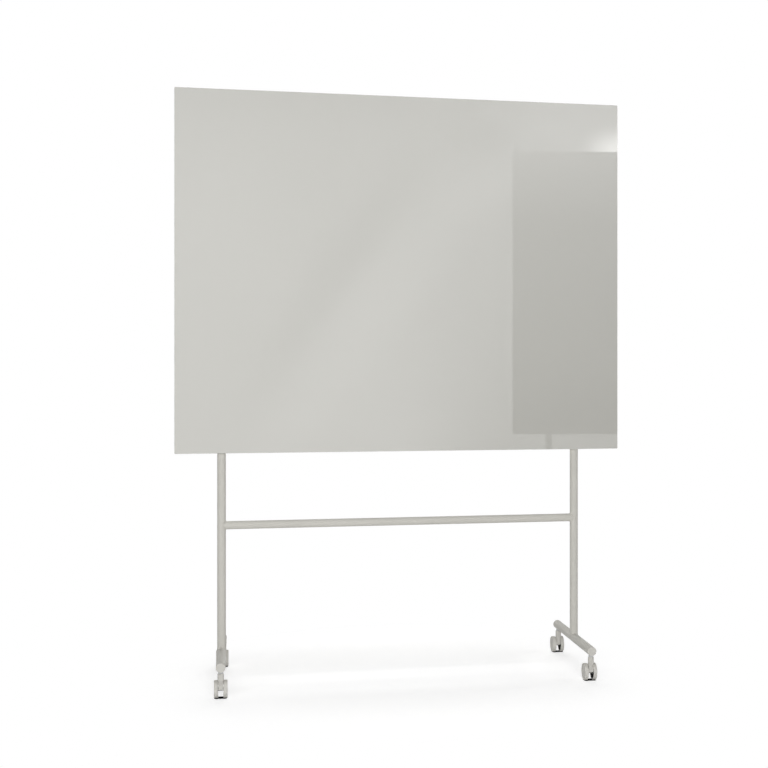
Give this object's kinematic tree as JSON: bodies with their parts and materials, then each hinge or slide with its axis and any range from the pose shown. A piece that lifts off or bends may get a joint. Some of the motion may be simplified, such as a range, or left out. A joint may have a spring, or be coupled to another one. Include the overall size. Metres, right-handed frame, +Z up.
{
  "type": "mobile glass whiteboard",
  "caption": "Glass writing panel on a wheeled stand of round tube: posts, crossbar and base tubes with lockable twin-wheel swivel casters, so it can be rolled and parked.",
  "frame": {"origin": "on the floor, below the middle of the whole board and stand", "axes": "+X along the board to the right as seen by a writer, +Y from the writing face to the back, +Z up"},
  "size_m": [1.5, 0.559, 1.96],
  "materials": {
    "back_painted_glass": "toughened glass, painted behind, polished front",
    "powder_coated_steel": "warm grey powder coat, fine texture",
    "moulded_nylon": "warm grey moulded nylon, satin",
    "dark_nylon": "black moulded nylon",
    "soft_tread": "warm grey soft tread, matt",
    "zinc_plated_steel": "bright zinc plate"
  },
  "bodies": {
    "stand": {"glass_panel": "back_painted_glass", "steel_back_sheet": "powder_coated_steel", "upper_mounting_rail": "powder_coated_steel", "lower_mounting_rail": "powder_coated_steel", "weld_nuts": "zinc_plated_steel", "saddle_spacers": "moulded_nylon", "saddle_washers": "zinc_plated_steel", "board_screws": "zinc_plated_steel", "crossbar": "powder_coated_steel", "left_post": "powder_coated_steel", "left_post_cap": "moulded_nylon", "left_base_tube": "powder_coated_steel", "right_post": "powder_coated_steel", "right_post_cap": "moulded_nylon", "right_base_tube": "powder_coated_steel", "front_left_base_plug": "moulded_nylon", "front_left_caster_stem": "zinc_plated_steel", "front_right_base_plug": "moulded_nylon", "front_right_caster_stem": "zinc_plated_steel", "rear_left_base_plug": "moulded_nylon", "rear_left_caster_stem": "zinc_plated_steel", "rear_right_base_plug": "moulded_nylon", "rear_right_caster_stem": "zinc_plated_steel"},
    "front_left_caster": {"front_left_caster_housing": "moulded_nylon", "front_left_caster_axle": "zinc_plated_steel"},
    "front_left_caster_left_wheel": {"front_left_caster_left_wheel_core": "dark_nylon", "front_left_caster_left_tread": "soft_tread", "front_left_caster_left_hub_cap": "moulded_nylon"},
    "front_left_caster_right_wheel": {"front_left_caster_right_wheel_core": "dark_nylon", "front_left_caster_right_tread": "soft_tread", "front_left_caster_right_hub_cap": "moulded_nylon"},
    "front_left_brake": {"front_left_brake_lever": "moulded_nylon"},
    "front_right_caster": {"front_right_caster_housing": "moulded_nylon", "front_right_caster_axle": "zinc_plated_steel"},
    "front_right_caster_left_wheel": {"front_right_caster_left_wheel_core": "dark_nylon", "front_right_caster_left_tread": "soft_tread", "front_right_caster_left_hub_cap": "moulded_nylon"},
    "front_right_caster_right_wheel": {"front_right_caster_right_wheel_core": "dark_nylon", "front_right_caster_right_tread": "soft_tread", "front_right_caster_right_hub_cap": "moulded_nylon"},
    "front_right_brake": {"front_right_brake_lever": "moulded_nylon"},
    "rear_left_caster": {"rear_left_caster_housing": "moulded_nylon", "rear_left_caster_axle": "zinc_plated_steel"},
    "rear_left_caster_left_wheel": {"rear_left_caster_left_wheel_core": "dark_nylon", "rear_left_caster_left_tread": "soft_tread", "rear_left_caster_left_hub_cap": "moulded_nylon"},
    "rear_left_caster_right_wheel": {"rear_left_caster_right_wheel_core": "dark_nylon", "rear_left_caster_right_tread": "soft_tread", "rear_left_caster_right_hub_cap": "moulded_nylon"},
    "rear_left_brake": {"rear_left_brake_lever": "moulded_nylon"},
    "rear_right_caster": {"rear_right_caster_housing": "moulded_nylon", "rear_right_caster_axle": "zinc_plated_steel"},
    "rear_right_caster_left_wheel": {"rear_right_caster_left_wheel_core": "dark_nylon", "rear_right_caster_left_tread": "soft_tread", "rear_right_caster_left_hub_cap": "moulded_nylon"},
    "rear_right_caster_right_wheel": {"rear_right_caster_right_wheel_core": "dark_nylon", "rear_right_caster_right_tread": "soft_tread", "rear_right_caster_right_hub_cap": "moulded_nylon"},
    "rear_right_brake": {"rear_right_brake_lever": "moulded_nylon"}
  },
  "joints": [
    {"name": "front_left_swivel", "type": "hinge", "parent": "stand", "child": "front_left_caster", "pos_m": [-0.6, -0.2625, 0.0808], "axis": [0, 0, 1], "continuous": true},
    {"name": "front_left_left_wheel_spin", "type": "hinge", "parent": "front_left_caster", "child": "front_left_caster_left_wheel", "pos_m": [-0.6, -0.2425, 0.028], "axis": [1, 0, 0], "continuous": true},
    {"name": "front_left_right_wheel_spin", "type": "hinge", "parent": "front_left_caster", "child": "front_left_caster_right_wheel", "pos_m": [-0.6, -0.2425, 0.028], "axis": [1, 0, 0], "continuous": true},
    {"name": "front_left_brake_press", "type": "hinge", "parent": "front_left_caster", "child": "front_left_brake", "pos_m": [-0.6, -0.22567, 0.03564], "axis": [1, 0, 0], "range_deg": [-19, 0]},
    {"name": "front_right_swivel", "type": "hinge", "parent": "stand", "child": "front_right_caster", "pos_m": [0.6, -0.2625, 0.0808], "axis": [0, 0, 1], "continuous": true},
    {"name": "front_right_left_wheel_spin", "type": "hinge", "parent": "front_right_caster", "child": "front_right_caster_left_wheel", "pos_m": [0.6, -0.2425, 0.028], "axis": [1, 0, 0], "continuous": true},
    {"name": "front_right_right_wheel_spin", "type": "hinge", "parent": "front_right_caster", "child": "front_right_caster_right_wheel", "pos_m": [0.6, -0.2425, 0.028], "axis": [1, 0, 0], "continuous": true},
    {"name": "front_right_brake_press", "type": "hinge", "parent": "front_right_caster", "child": "front_right_brake", "pos_m": [0.6, -0.22567, 0.03564], "axis": [1, 0, 0], "range_deg": [-19, 0]},
    {"name": "rear_left_swivel", "type": "hinge", "parent": "stand", "child": "rear_left_caster", "pos_m": [-0.6, 0.2195, 0.0808], "axis": [0, 0, 1], "continuous": true},
    {"name": "rear_left_left_wheel_spin", "type": "hinge", "parent": "rear_left_caster", "child": "rear_left_caster_left_wheel", "pos_m": [-0.6, 0.2395, 0.028], "axis": [1, 0, 0], "continuous": true},
    {"name": "rear_left_right_wheel_spin", "type": "hinge", "parent": "rear_left_caster", "child": "rear_left_caster_right_wheel", "pos_m": [-0.6, 0.2395, 0.028], "axis": [1, 0, 0], "continuous": true},
    {"name": "rear_left_brake_press", "type": "hinge", "parent": "rear_left_caster", "child": "rear_left_brake", "pos_m": [-0.6, 0.25633, 0.03564], "axis": [1, 0, 0], "range_deg": [-19, 0]},
    {"name": "rear_right_swivel", "type": "hinge", "parent": "stand", "child": "rear_right_caster", "pos_m": [0.6, 0.2195, 0.0808], "axis": [0, 0, 1], "continuous": true},
    {"name": "rear_right_left_wheel_spin", "type": "hinge", "parent": "rear_right_caster", "child": "rear_right_caster_left_wheel", "pos_m": [0.6, 0.2395, 0.028], "axis": [1, 0, 0], "continuous": true},
    {"name": "rear_right_right_wheel_spin", "type": "hinge", "parent": "rear_right_caster", "child": "rear_right_caster_right_wheel", "pos_m": [0.6, 0.2395, 0.028], "axis": [1, 0, 0], "continuous": true},
    {"name": "rear_right_brake_press", "type": "hinge", "parent": "rear_right_caster", "child": "rear_right_brake", "pos_m": [0.6, 0.25633, 0.03564], "axis": [1, 0, 0], "range_deg": [-19, 0]}
  ]
}
